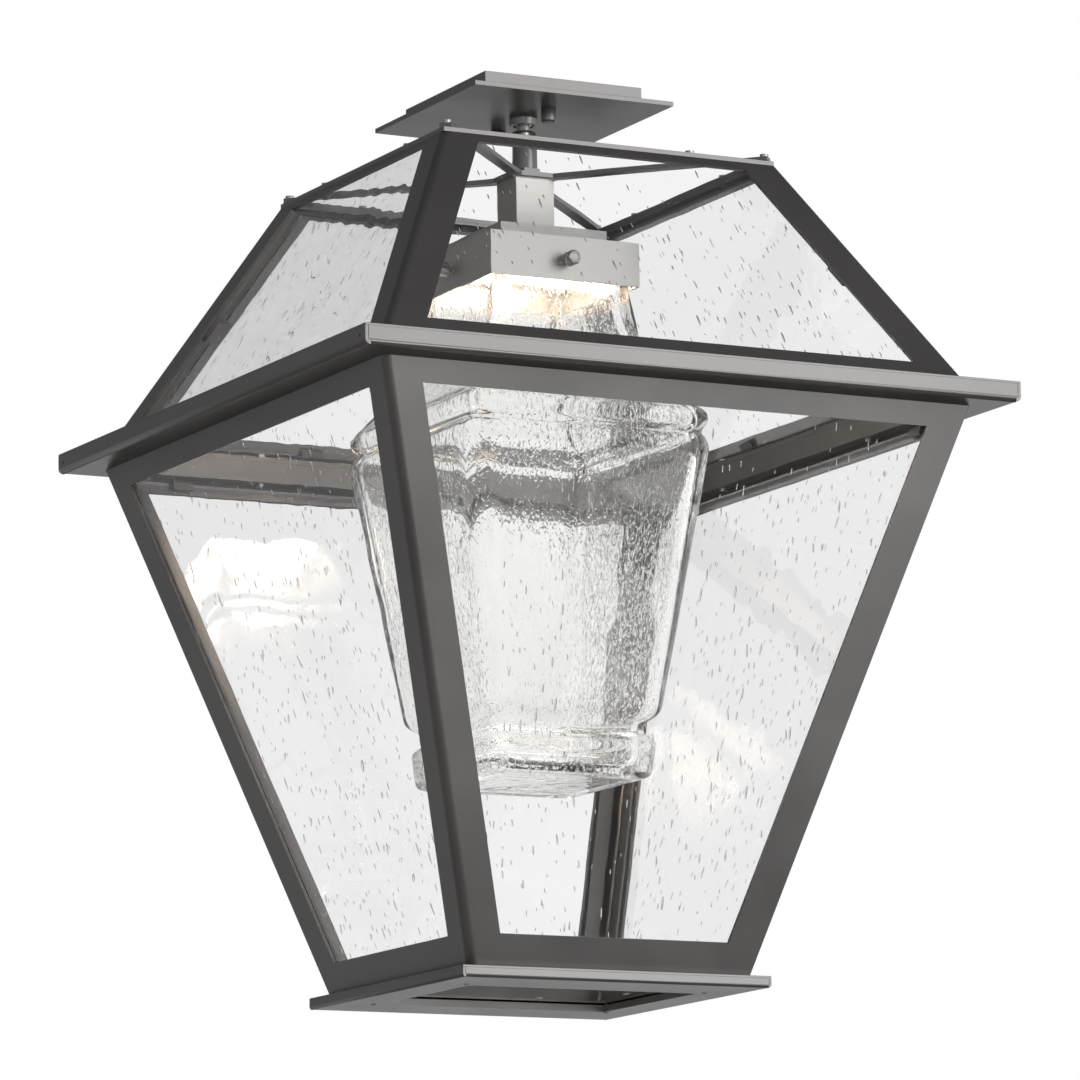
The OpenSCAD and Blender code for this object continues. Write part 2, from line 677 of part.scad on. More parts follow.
module roof_glass_clips() color(finish) for (side = [front:left])
    on_side(side, roof_top_w, roof_top_z, roof_tilt) {
        for (x = [-roof_clip_x, roof_clip_x]) rail_clip(x, roof_pane_foot, 1);
        edge_retainers(roof_top_w, roof_tilt, hip_w, (roof_slope - clip_l) / 2,
            (roof_slope + clip_l) / 2);
    }

// ---- brim ----

module brim_cover() color(finish) translate([0, 0, brim_top_z - cover_t]) difference() {
    square_walls(brim_w, (brim_w - brim_opening_w) / 2, cover_t);
    bolt_holes(brim_bolt_x, brim_bolt_y, 0, cover_t);
}

drain_d = 2;           // drain holes near the ends of the right and left folds
drain_in = 7.6;

module brim_tray() color(finish) translate([0, 0, brim_z]) difference() {
    fold_h = brim_h - cover_t;
    folded_pan(brim_w, fold_h, brim_t, brim_bend_r, brim_opening_w, brim_opening_w, fold_h);
    bolt_holes(brim_bolt_x, brim_bolt_y, 0, brim_t);
    for (sx = [-1, 1], sy = [-1, 1])
        translate([sx * (brim_w - brim_t) / 2, sy * (brim_w / 2 - drain_in), brim_h / 2])
            rotate([0, 90, 0]) cylinder(d = drain_d, h = brim_t + 2 * cut, center = true);
}

module brim_bolts() color(zinc) on_sides_in_pairs(brim_bolt_x, brim_bolt_y, brim_z - sheet_t) {
    grip = brim_h + 2 * sheet_t;
    translate([0, 0, -head_h]) cylinder(d = head_d, h = head_h);
    cylinder(d = bolt_d, h = grip + nut_h);
    translate([0, 0, grip]) cylinder(d = 2 * bolt_d, h = nut_h, $fn = 6);
}

// ---- body ----

module body_frame(is_front) color(finish) frame_half(is_front) difference() {
    sheet_frame(body_top_w, body_bottom_w, brim_z, body_h, body_tilt, post_w, top_rail_w,
        bottom_rail_w, brim_opening_w, 2 * base_flange_y);
    bolt_holes(brim_bolt_x, brim_bolt_y, brim_z - sheet_t, sheet_t);
    bolt_holes(base_screw_x, base_screw_y, base_top_z, sheet_t);
}

module body_frame_front() body_frame(true);
module body_frame_back() body_frame(false);

body_pane_top = top_rail_w - pane_lap;
body_pane_foot = body_slope - bottom_rail_w + pane_lap;

module body_pane(side) color(seeded) on_side(side, body_top_w, brim_z, body_tilt)
    translate([0, 0, pane_in]) linear_extrude(pane_t)
        side_panel(body_top_w, body_tilt, post_w - pane_lap, body_pane_top, body_pane_foot);

module body_pane_front() body_pane(front);
module body_pane_right() body_pane(right);
module body_pane_back() body_pane(back);
module body_pane_left() body_pane(left);

module body_glass_stops() color(finish) for (side = [front:left])
    on_side(side, body_top_w, brim_z, body_tilt)
        edge_retainers(body_top_w, body_tilt, post_w, top_rail_w, body_slope - bottom_rail_w);

module body_glass_clips() color(finish) for (side = [front:left], s = [-1, 1])
    on_side(side, body_top_w, brim_z, body_tilt) {
        rail_clip(s * body_clip_top_x, body_pane_top, 0);
        rail_clip(s * body_clip_foot_x, body_pane_foot, 1);
    }

// ---- base ----

module base_cover() color(finish) translate([0, 0, base_top_z - cover_t]) difference() {
    translate([-base_w / 2, -base_w / 2, 0]) cube([base_w, base_w, cover_t]);
    translate([-base_opening_w / 2 - cover_t, -base_opening_d / 2 - cover_t, -cut])
        cube([base_opening_w + 2 * cover_t, base_opening_d + 2 * cover_t, cover_t + 2 * cut]);
    on_sides_in_pairs(base_screw_x, base_screw_y, -cut)
        cylinder(d = bolt_d, h = cover_t + 2 * cut);
    at_rivets(-cut) cylinder(d = rivet_d, h = cover_t + 2 * cut);
}

module base_tray() color(finish) translate([0, 0, base_z]) difference() {
    fold_h = base_h - cover_t;
    folded_pan(base_w, fold_h, cover_t, 2, base_opening_w, base_opening_d, fold_h - cover_t);
    at_rivets(-cut) cylinder(d = rivet_d, h = cover_t + 2 * cut);
}

// The rivets stand just outside the corners of the opening
module at_rivets(z) for (sx = [-1, 1], sy = [-1, 1])
    translate([sx * (base_opening_w / 2 + cover_t + rivet_d),
               sy * (base_opening_d / 2 + cover_t + rivet_d), z]) children();

module base_rivets() color(silver) at_rivets(base_z) {
    dome = 0.5;
    translate([0, 0, -dome]) cylinder(d1 = rivet_d, d2 = rivet_d + 2 * dome, h = dome);
    cylinder(d = rivet_d, h = base_h);
}

module base_screws() color(zinc)
    on_sides_in_pairs(base_screw_x, base_screw_y, base_top_z - cover_t) {
        cylinder(d = bolt_d, h = cover_t + sheet_t);
        translate([0, 0, cover_t + sheet_t]) cylinder(d = head_d, h = head_h);
    }

// ---- light fitter ----

module mid_plate() color(silver) translate([0, 0, fitter_top_z]) difference() {
    translate([-mid_w / 2, -mid_w / 2, 0]) cube([mid_w, mid_w, mid_h]);
    translate([0, 0, -cut]) cylinder(d = nipple_d, h = mid_h + 2 * cut);
}

// Threaded nipple with a nut in the column and a nut under the top of the box
module fitter_nipple() color(zinc) difference() {
    bottom_z = sink_top_z - nipple_nut_t;
    top_z = mid_top_z + column_cap_t + nipple_nut_t;
    union() {
        translate([0, 0, bottom_z]) cylinder(d = nipple_d, h = top_z - bottom_z);
        for (z = [bottom_z, mid_top_z + column_cap_t])
            translate([0, 0, z]) cylinder(d = nipple_nut_d, h = nipple_nut_t, $fn = 6);
    }
    translate([0, 0, bottom_z - cut]) cylinder(d = wire_bore, h = top_z - bottom_z + 2 * cut);
}

module fitter_housing() color(silver) translate([0, 0, fitter_z]) difference() {
    union() {
        square_walls(fitter_w, fitter_wall, fitter_h);
        translate([-fitter_w / 2, -fitter_w / 2, fitter_h - fitter_wall])
            cube([fitter_w, fitter_w, fitter_wall]);
    }
    translate([0, 0, fitter_h - fitter_wall - cut])
        cylinder(d = nipple_d, h = fitter_wall + 2 * cut);
    for (a = [0, 90]) rotate([90, 0, a]) translate([0, screw_rise, -fitter_w])
        cylinder(d = shank_d + 2 * running_gap, h = 2 * fitter_w);
}

module thumb_screw(side) color(silver) rotate([0, 0, 90 * side])
    translate([0, -glass_neck_w / 2 - fit_gap, screw_z]) rotate([90, 0, 0]) {
        length = (fitter_w - glass_neck_w) / 2 - fit_gap + shank_l;
        edge = 0.6;
        cylinder(d = shank_d, h = length);
        translate([0, 0, length]) {
            cylinder(d = knob_d, h = knob_l - edge);
            translate([0, 0, knob_l - edge]) cylinder(d1 = knob_d, d2 = knob_d - 2 * edge, h = edge);
        }
    }

module thumb_screw_front() thumb_screw(front);
module thumb_screw_right() thumb_screw(right);
module thumb_screw_back() thumb_screw(back);
module thumb_screw_left() thumb_screw(left);

module led_heat_sink() color(silver) translate([0, 0, board_z + board_t]) difference() {
    translate([-board_w / 2, -board_w / 2, 0]) cube([board_w, board_w, sink_h]);
    translate([0, 0, -cut]) cylinder(d = nipple_nut_d + 2, h = sink_h + 2 * cut);
}

module led_board() color(board_white) translate([-board_w / 2, -board_w / 2, board_z])
    cube([board_w, board_w, board_t]);

module led_lens() color(warm) translate([-board_w / 2, -board_w / 2, lens_z])
    cube([board_w, board_w, lens_t]);

module glass_gasket() color(gasket_grey)
    translate([0, 0, rim_z]) square_walls(glass_neck_w, glass_wall, gasket_t);

// Thick square moulded jar with flared shoulders, a collar, a bead and a bottom ring
module glass_diffuser() color(seeded) difference() {
    loft([for (ring = glass_outside) [ring[0], round_square(ring[1], ring[2])]]);
    loft([for (ring = glass_inside) [ring[0], round_square(ring[1], ring[2])]]);
}

canopy_plate();
canopy_tray();
mounting_crossbar();
mounting_studs();
canopy_cap_nuts();
ground_screw();
swivel_collar();
swivel_liner();
swivel_ball();
stem_tube();
stem_locknut();
stem_top_nut();
column_tube();
roof_spider();
spider_screws();
roof_top_ring();
ring_screws();
roof_frame_front();
roof_frame_back();
roof_pane_front();
roof_pane_right();
roof_pane_back();
roof_pane_left();
roof_glass_clips();
brim_cover();
brim_tray();
brim_bolts();
body_frame_front();
body_frame_back();
body_pane_front();
body_pane_right();
body_pane_back();
body_pane_left();
body_glass_stops();
body_glass_clips();
base_cover();
base_tray();
base_screws();
base_rivets();
fitter_nipple();
mid_plate();
fitter_housing();
thumb_screw_front();
thumb_screw_right();
thumb_screw_back();
thumb_screw_left();
led_heat_sink();
led_board();
led_lens();
glass_gasket();
glass_diffuser();
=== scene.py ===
"""Porch ceiling lantern: the finishes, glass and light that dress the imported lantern.

It is laid out as a Blender add-on and run as a script. Settings hold real sizes, and every mesh is
in metres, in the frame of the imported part: +Z up, with the origin in the ceiling at the middle of
the canopy."""

import json
import math
import random
import bmesh
import bpy
import numpy as np
from mathutils import Matrix, Vector, noise


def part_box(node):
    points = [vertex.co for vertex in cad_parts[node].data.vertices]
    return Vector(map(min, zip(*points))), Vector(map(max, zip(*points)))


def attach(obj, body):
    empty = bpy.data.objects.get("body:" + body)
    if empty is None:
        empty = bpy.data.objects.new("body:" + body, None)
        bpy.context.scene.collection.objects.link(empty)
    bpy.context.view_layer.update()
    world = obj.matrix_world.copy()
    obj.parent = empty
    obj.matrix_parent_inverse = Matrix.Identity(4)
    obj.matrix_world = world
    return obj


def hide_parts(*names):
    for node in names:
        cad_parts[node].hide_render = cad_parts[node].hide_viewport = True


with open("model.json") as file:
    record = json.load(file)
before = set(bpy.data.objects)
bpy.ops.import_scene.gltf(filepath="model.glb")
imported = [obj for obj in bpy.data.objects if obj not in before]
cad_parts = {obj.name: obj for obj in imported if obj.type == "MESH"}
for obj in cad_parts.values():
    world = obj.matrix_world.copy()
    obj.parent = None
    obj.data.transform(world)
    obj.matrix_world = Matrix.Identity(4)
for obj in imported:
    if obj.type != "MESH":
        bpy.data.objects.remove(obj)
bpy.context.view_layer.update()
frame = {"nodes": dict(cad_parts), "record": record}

bl_info = {
    "name": "Porch Ceiling Lantern",
    "version": (1, 0, 0),
    "blender": (4, 5, 0),
    "location": "3D View > Sidebar > Lantern",
    "description": "Finishes, seeded panes, moulded glass and studio of a porch ceiling lantern",
    "category": "Object",
}

MM = 0.001
WHITE = (1, 1, 1, 1)
SIDES = ("front", "right", "back", "left")
NODES = frame["nodes"]
SLOT_OF = {part["node"]: part["material_slot"] for part in frame["record"]["subparts"]}
BODY_OF = {
    node: body for body, nodes in frame["record"]["behaviour"]["bodies"].items() for node in nodes
}


# ---- colours, settings and nodes ----


def linear(hex_colour):
    """Linear red, green and blue of an sRGB hex colour."""
    parts = [int(hex_colour[i : i + 2], 16) / 255 for i in (1, 3, 5)]
    return [p / 12.92 if p <= 0.04045 else ((p + 0.055) / 1.055) ** 2.4 for p in parts]


def colour(name, description, hex_colour):
    """A colour setting whose default is an sRGB hex colour."""
    return bpy.props.FloatVectorProperty(
        name=name, description=description, subtype="COLOR", size=3, min=0, max=1,
        default=linear(hex_colour),
    )


def length(name, description, millimetres):
    """A length setting whose default is given in millimetres."""
    return bpy.props.FloatProperty(
        name=name, description=description, subtype="DISTANCE", unit="LENGTH", min=0,
        default=millimetres * MM,
    )


def per_mm(millimetres):
    """Scale of a texture whose features are that many millimetres apart."""
    return 1000 / millimetres


def add_node(tree, kind, values=None, links=None, **settings):
    """Adds a shader node with its settings, input values and links, and returns it."""
    node = tree.nodes.new(kind)
    for key, value in settings.items():
        setattr(node, key, value)
    for key, value in (values or {}).items():
        node.inputs[key].default_value = value
    for key, socket in (links or {}).items():
        tree.links.new(socket, node.inputs[key])
    return node


def new_material(name, hue, roughness, **inputs):
    """A material with its Principled shader set up, as (material, tree, shader)."""
    material = bpy.data.materials.new(name)
    material.use_nodes = True
    tree = material.node_tree
    shader = tree.nodes["Principled BSDF"]
    shader.inputs["Base Color"].default_value = (*hue, 1)
    shader.inputs["Roughness"].default_value = roughness
    for key, value in inputs.items():
        shader.inputs[key.replace("_", " ")].default_value = value
    return material, tree, shader


class LanternColours(bpy.types.PropertyGroup):
    """Colours of the lantern's finishes."""

    powder: colour("Powder coat", "Dark bronze-grey coat of the frames and canopy", "#706E6D")
    aluminium: colour("Aluminium", "Column, fitter box, rivets and glass screws", "#B8B6B3")
    zinc: colour("Zinc plating", "Screws, nuts and crossbar", "#B4B4B0")
    earth: colour("Earth screw", "Green passivated steel", "#2F7045")
    pane: colour("Seeded glass", "Tint of the drawn panes", "#FEFEFE")
    jar: colour("Moulded glass", "Tint of the thick square glass", "#FDFDFC")
    light: colour("Light", "Colour of the lit lens", "#FFE9D2")


class LanternGlass(bpy.types.PropertyGroup):
    """Sizes of the seeds in the panes and of the moulded glass."""

    seed_spacing: length("Seed spacing", "Mean distance between two seeds in a pane", 15.2)
    seed_long: length("Seed length", "Length of a middling seed", 3.6)
    seed_wide: length("Seed width", "Width of a middling seed", 0.8)
    jar_step: length("Mould step", "Mesh step down the moulded glass", 2.6)
    jar_ripple: length("Mould ripple", "Depth of the ripples of the moulded glass", 0.2)


class LanternStage(bpy.types.PropertyGroup):
    """Camera, floor and light."""

    camera_azimuth: bpy.props.FloatProperty(
        name="Azimuth", description="Turn of the camera to the left of the front",
        subtype="ANGLE", default=math.radians(27.883),
    )
    camera_elevation: bpy.props.FloatProperty(
        name="Elevation", description="Height of the camera over the lantern, below it if negative",
        subtype="ANGLE", default=math.radians(-9.929),
    )
    camera_roll: bpy.props.FloatProperty(
        name="Roll", description="Lean of the camera", subtype="ANGLE", default=math.radians(-0.982)
    )
    camera_distance: length("Distance", "From the camera to the point it looks at", 4000)
    aim_side: length("Aim to the right", "Sideways place of the point the camera looks at", 6.2)
    aim_drop: length("Aim below ceiling", "Depth of the point the camera looks at", 289.9)
    focal_px: bpy.props.FloatProperty(
        name="Focal length", description="In pixels of the 1080 pixel frame", subtype="PIXEL",
        default=6259.4,
    )
    floor_drop: length("Floor below ceiling", "Depth of the floor", 4200)
    floor_reach: length("Floor reach", "From the middle of the floor to its edges", 13000)
    key_width: length("Softbox width", "Width of the softbox at the front right", 1500)
    key_height: length("Softbox height", "Height of the softbox at the front right", 2475)
    key_power: bpy.props.FloatProperty(
        name="Softbox power", description="Power of the softbox at the front right",
        unit="POWER", default=38,
    )


# ---- materials ----


def powder_coat(hue):
    """Polyester powder coat with fine flake, sprayed and baked on sheet steel.
    It gives a satin sheen with a soft orange peel and a faint grain."""
    material, tree, shader = new_material("powder_coat_baked", hue, 0.33, Metallic=0.75)
    place = add_node(tree, "ShaderNodeTexCoord").outputs["Object"]
    # The flake is finer than a pixel, so it is drawn 1 mm apart to show
    flake = add_node(
        tree, "ShaderNodeTexNoise", {"Scale": per_mm(1.0), "Detail": 2.0}, {"Vector": place}
    )
    # The coat's thickness and gloss drift over some 90 mm
    cloud = add_node(
        tree, "ShaderNodeTexNoise", {"Scale": per_mm(90), "Detail": 3.0}, {"Vector": place}
    )
    both = add_node(
        tree, "ShaderNodeMath", {1: 0.35}, {0: flake.outputs["Fac"], 2: cloud.outputs["Fac"]},
        operation="MULTIPLY_ADD",
    )
    tone = add_node(tree, "ShaderNodeValToRGB", {}, {"Fac": both.outputs[0]})
    dark, pale = tone.color_ramp.elements
    dark.position, dark.color = 0.45, (*[c * 0.9 for c in hue], 1)
    pale.position, pale.color = 0.9, (*[min(1, c * 1.12) for c in hue], 1)
    tree.links.new(tone.outputs["Color"], shader.inputs["Base Color"])
    rough = add_node(
        tree, "ShaderNodeMapRange", {"To Min": 0.27, "To Max": 0.39},
        {"Value": cloud.outputs["Fac"]},
    )
    tree.links.new(rough.outputs[0], shader.inputs["Roughness"])
    peel = add_node(
        tree, "ShaderNodeTexNoise", {"Scale": per_mm(1.6), "Detail": 1.0}, {"Vector": place}
    )
    bump = add_node(
        tree, "ShaderNodeBump", {"Distance": 0.012 * MM}, {"Height": peel.outputs["Fac"]}
    )
    tree.links.new(bump.outputs["Normal"], shader.inputs["Normal"])
    return material


def brushed_aluminium(hue):
    """Extruded and folded aluminium with a brushed satin finish.
    It gives a pale grey metal with fine level lines."""
    material, tree, shader = new_material("aluminium_brushed", hue, 0.3, Metallic=0.9)
    place = add_node(tree, "ShaderNodeTexCoord").outputs["Object"]
    # The brush lines are drawn 0.8 mm apart, coarser than real ones, and run level round the piece
    lines = add_node(
        tree, "ShaderNodeMapping", {"Scale": (per_mm(40), per_mm(40), per_mm(0.8))},
        {"Vector": place},
    )
    grain = add_node(
        tree, "ShaderNodeTexNoise", {"Scale": 1.0, "Detail": 3.0}, {"Vector": lines.outputs[0]}
    )
    rough = add_node(
        tree, "ShaderNodeMapRange", {"To Min": 0.34, "To Max": 0.5},
        {"Value": grain.outputs["Fac"]},
    )
    tree.links.new(rough.outputs[0], shader.inputs["Roughness"])
    bump = add_node(
        tree, "ShaderNodeBump", {"Distance": 0.006 * MM}, {"Height": grain.outputs["Fac"]}
    )
    tree.links.new(bump.outputs["Normal"], shader.inputs["Normal"])
    return material


def turned_aluminium(hue):
    """Aluminium rod, turned on a lathe and polished.
    It gives a bright metal that mirrors the dark and light round it, with fine tool marks."""
    material, tree, shader = new_material("aluminium_turned", hue, 0.16, Metallic=1.0)
    place = add_node(tree, "ShaderNodeTexCoord").outputs["Object"]
    # The tool marks are 0.5 mm apart
    marks = add_node(
        tree, "ShaderNodeTexNoise", {"Scale": per_mm(0.5), "Detail": 2.0}, {"Vector": place}
    )
    rough = add_node(
        tree, "ShaderNodeMapRange", {"To Min": 0.1, "To Max": 0.26},
        {"Value": marks.outputs["Fac"]},
    )
    tree.links.new(rough.outputs[0], shader.inputs["Roughness"])
    return material


def zinc_steel(hue):
    """Turned and pressed steel with bright zinc plating.
    It gives a slightly blotchy pale metal."""
    material, tree, shader = new_material("steel_zinc_plated", hue, 0.35, Metallic=1.0)
    place = add_node(tree, "ShaderNodeTexCoord").outputs["Object"]
    # The plating's blotches are 4 mm across
    blotch = add_node(
        tree, "ShaderNodeTexNoise", {"Scale": per_mm(4), "Detail": 3.0}, {"Vector": place}
    )
    rough = add_node(
        tree, "ShaderNodeMapRange", {"To Min": 0.25, "To Max": 0.5},
        {"Value": blotch.outputs["Fac"]},
    )
    tree.links.new(rough.outputs[0], shader.inputs["Roughness"])
    return material


def drawn_glass(hue):
    """Soda-lime sheet glass, drawn, with seeds left in it.
    It gives clear panes whose surface waves a little. The index is a touch under the usual 1.52,
    as the panes mirror little."""
    material, tree, shader = new_material(
        "soda_glass_drawn", hue, 0.0, IOR=1.47, Transmission_Weight=1.0
    )
    place = add_node(tree, "ShaderNodeTexCoord").outputs["Object"]
    # The drawn sheet waves every 42 mm or so
    wave = add_node(
        tree, "ShaderNodeTexNoise", {"Scale": per_mm(42), "Detail": 1.0}, {"Vector": place}
    )
    bump = add_node(
        tree, "ShaderNodeBump", {"Distance": 0.38 * MM}, {"Height": wave.outputs["Fac"]}
    )
    tree.links.new(bump.outputs["Normal"], shader.inputs["Normal"])
    return material


def moulded_glass(hue):
    """Pressed soda-lime glass with a seedy, rippled skin from the mould.
    It gives a heavy clear glass that breaks up what lies behind it. Its index is close to that of
    the panes."""
    material, tree, shader = new_material(
        "soda_glass_pressed", hue, 0.0, IOR=1.46, Transmission_Weight=1.0
    )
    place = add_node(tree, "ShaderNodeTexCoord").outputs["Object"]
    # Seeds in the skin are 2 mm across and drawn out down the glass, with clear glass between them
    drawn = add_node(
        tree, "ShaderNodeMapping", {"Scale": (per_mm(2.0), per_mm(2.0), per_mm(4.5))},
        {"Vector": place},
    )
    seeds = add_node(
        tree, "ShaderNodeTexNoise", {"Scale": 1.0, "Detail": 1.0}, {"Vector": drawn.outputs[0]}
    )
    dimples = add_node(
        tree, "ShaderNodeMapRange", {"From Min": 0.585, "From Max": 0.735},
        {"Value": seeds.outputs["Fac"]}, interpolation_type="SMOOTHSTEP",
    )
    # The seeds come in drifts some 70 mm across
    cloud = add_node(
        tree, "ShaderNodeTexNoise", {"Scale": per_mm(70), "Detail": 1.0}, {"Vector": place}
    )
    drift = add_node(
        tree, "ShaderNodeMapRange",
        {"From Min": 0.39, "From Max": 0.57, "To Min": 0.45, "To Max": 1.0},
        {"Value": cloud.outputs["Fac"]},
    )
    skin = add_node(
        tree, "ShaderNodeMath", {}, {0: dimples.outputs[0], 1: drift.outputs[0]},
        operation="MULTIPLY",
    )
    bump = add_node(tree, "ShaderNodeBump", {"Distance": 0.16 * MM}, {"Height": skin.outputs[0]})
    tree.links.new(bump.outputs["Normal"], shader.inputs["Normal"])
    return material


def lit_lens(hue):
    """Opal acrylic sheet, cast, lit from behind by the board.
    It gives a warm glow that is strongest in the middle and fades towards the rim."""
    material, tree, shader = new_material("acrylic_opal_cast", hue, 0.35)
    shader.inputs["Emission Color"].default_value = (*hue, 1)
    place = add_node(tree, "ShaderNodeTexCoord").outputs["Object"]
    level = add_node(
        tree, "ShaderNodeVectorMath", {1: (1, 1, 0)}, {0: place}, operation="MULTIPLY"
    )
    reach = add_node(tree, "ShaderNodeVectorMath", {}, {0: level.outputs[0]}, operation="LENGTH")
    # The glow falls off between 10 and 48 mm from the lantern's axis
    glow = add_node(
        tree, "ShaderNodeMapRange",
        {"From Min": 10 * MM, "From Max": 48 * MM, "To Min": 30.0, "To Max": 8.0},
        {"Value": reach.outputs["Value"]}, interpolation_type="SMOOTHSTEP",
    )
    tree.links.new(glow.outputs[0], shader.inputs["Emission Strength"])
    return material


def speckled(name, hue, roughness, speck_mm, **inputs):
    """A plain material with a faint speckle, for the small moulded and coated pieces."""
    material, tree, shader = new_material(name, hue, roughness, **inputs)
    place = add_node(tree, "ShaderNodeTexCoord").outputs["Object"]
    speck = add_node(tree, "ShaderNodeTexNoise", {"Scale": per_mm(speck_mm)}, {"Vector": place})
    tone = add_node(tree, "ShaderNodeValToRGB", {}, {"Fac": speck.outputs["Fac"]})
    dark, pale = tone.color_ramp.elements
    dark.color = (*[c * 0.9 for c in hue], 1)
    pale.color = (*[min(1, c * 1.08) for c in hue], 1)
    tree.links.new(tone.outputs["Color"], shader.inputs["Base Color"])
    return material


MATERIALS = {}


def material_for(slot):
    """The material of one of the record's slots, made once."""
    if slot not in MATERIALS:
        hues = bpy.context.scene.lantern_colours
        makers = {
            "powder_coat": lambda: powder_coat(hues.powder),
            "zinc_steel": lambda: zinc_steel(hues.zinc),
            "brushed_aluminium": lambda: brushed_aluminium(hues.aluminium),
            "bright_rivet": lambda: zinc_steel(hues.aluminium),
            "seeded_glass": lambda: drawn_glass(hues.pane),
            "moulded_glass": lambda: moulded_glass(hues.jar),
            "led_lens": lambda: lit_lens(hues.light),
            # Passivated steel has a green sheen with small blotches
            "green_screw": lambda: speckled(
                "steel_green_passivated", hues.earth, 0.35, 3, Metallic=0.7
            ),
            # Moulded nylon is a dull off-white
            "nylon": lambda: speckled("nylon_moulded", linear("#D2D2C8"), 0.5, 2),
            # Printed solder mask is a smooth warm white
            "led_board": lambda: speckled("solder_mask_white", linear("#F0EEE8"), 0.4, 1),
            # Moulded silicone is a soft, dull grey
            "gasket": lambda: speckled("silicone_moulded", linear("#C4C4BE"), 0.6, 2),
        }
        MATERIALS[slot] = makers[slot]()
    return MATERIALS[slot]


# ---- pieces ----


def new_piece(name, bm, node, material=None):
    """An object from a bmesh that stands for a CAD node: it takes its body and slot, and the slot's
    material where none is given."""
    slot = SLOT_OF[node]
    mesh = bpy.data.meshes.new(name)
    bm.to_mesh(mesh)
    bm.free()
    piece = bpy.data.objects.new(name, mesh)
    bpy.context.scene.collection.objects.link(piece)
    mesh.materials.append(material or material_for(slot))
    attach(piece, BODY_OF[node])
    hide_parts(node)
    # Clear glass lets the softbox's light through, which a shadow of solid glass would stop
    piece.visible_shadow = "glass" not in slot
    return piece


def dress(nodes, edge_mm):
    """Gives CAD nodes their slot's material, and rounds their edges where edge_mm isn't 0."""
    for node in nodes:
        piece = NODES[node]
        piece.data.materials.clear()
        piece.data.materials.append(material_for(SLOT_OF[node]))
        if edge_mm:
            weld = piece.modifiers.new("weld", "WELD")
            weld.merge_threshold = 0.002 * MM
            bevel = piece.modifiers.new("edges", "BEVEL")
            bevel.width = edge_mm * MM
            bevel.segments = 2
            bevel.limit_method = "ANGLE"
            bevel.angle_limit = math.radians(35)
            bevel.harden_normals = True


# Seeded panes. Sizes are in millimetres
PANE_THICK = 3
SEED_AROUND = 7
SEED_BELTS = 4
SEED_MARGIN = 4
SEED_ROOM_ACROSS, SEED_ROOM_DOWN = 2.4, 9
SEED_LONGEST, SEED_WIDEST, SEED_DEEPEST = 9, 1.9, 1.5
SEED_COVER = 0.2
SEED_SPREAD = 0.42
SEED_LEAN, SEED_LEAN_SPREAD = 0.05, 0.06


def pane_plane(node):
    """The plane of a pane: its middle, the directions along, down and out of it, its half length
    down the slope, and its half widths at the top and at the foot."""
    points = np.array([v.co for v in NODES[node].data.vertices])
    # A corner that several faces share counts once
    points = np.unique(np.round(points, 6), axis=0)
    middle = points.mean(0)
    turn = Matrix.Rotation(SIDES.index(node.rsplit("_", 1)[1]) * math.pi / 2, 3, "Z")
    along = turn @ Vector((1, 0, 0))
    # The pane's flattest direction is the one out of it
    out = Vector(np.linalg.eigh(np.cov((points - middle).T))[1][:, 0])
    if out.dot(turn @ Vector((0, -1, 0))) < 0:
        out = -out
    down = along.cross(out)
    if down.z > 0:
        down = -down
    drops = (points - middle) @ np.array(down)
    reach = np.abs((points - middle) @ np.array(along))
    half_long = np.abs(drops).max()
    half_top, half_foot = reach[drops < 0].max(), reach[drops > 0].max()
    return Vector(middle), along, down, out, half_long, half_top, half_foot


def seed_shell(bm, middle, axes, radii):
    """Adds a spindle-shaped bubble whose faces look inwards, so it is a hollow in the glass."""
    wide_axis, long_axis, deep_axis = axes
    wide, long, deep = radii
    rings = []
    for belt in range(1, SEED_BELTS + 1):
        angle = math.pi * belt / (SEED_BELTS + 1)
        spots = [
            middle
            + wide_axis * wide * math.sin(angle) * math.cos(turn)
            + deep_axis * deep * math.sin(angle) * math.sin(turn)
            - long_axis * long * math.cos(angle)
            for turn in (2 * math.pi * i / SEED_AROUND for i in range(SEED_AROUND))
        ]
        rings.append([bm.verts.new(spot) for spot in spots])
    ends = [bm.verts.new(middle - long_axis * long), bm.verts.new(middle + long_axis * long)]
    faces = []
    for i in range(SEED_AROUND):
        j = (i + 1) % SEED_AROUND
        faces.append(bm.faces.new((ends[0], rings[0][i], rings[0][j])))
        faces.append(bm.faces.new((ends[1], rings[-1][j], rings[-1][i])))
        for low, high in zip(rings, rings[1:]):
            faces.append(bm.faces.new((low[i], high[i], high[j], low[j])))
    bmesh.ops.recalc_face_normals(bm, faces=faces)
    for face in faces:
        face.smooth = True
        face.normal_update()
    if (faces[0].calc_center_median() - middle).dot(faces[0].normal) > 0:
        bmesh.ops.reverse_faces(bm, faces=faces)


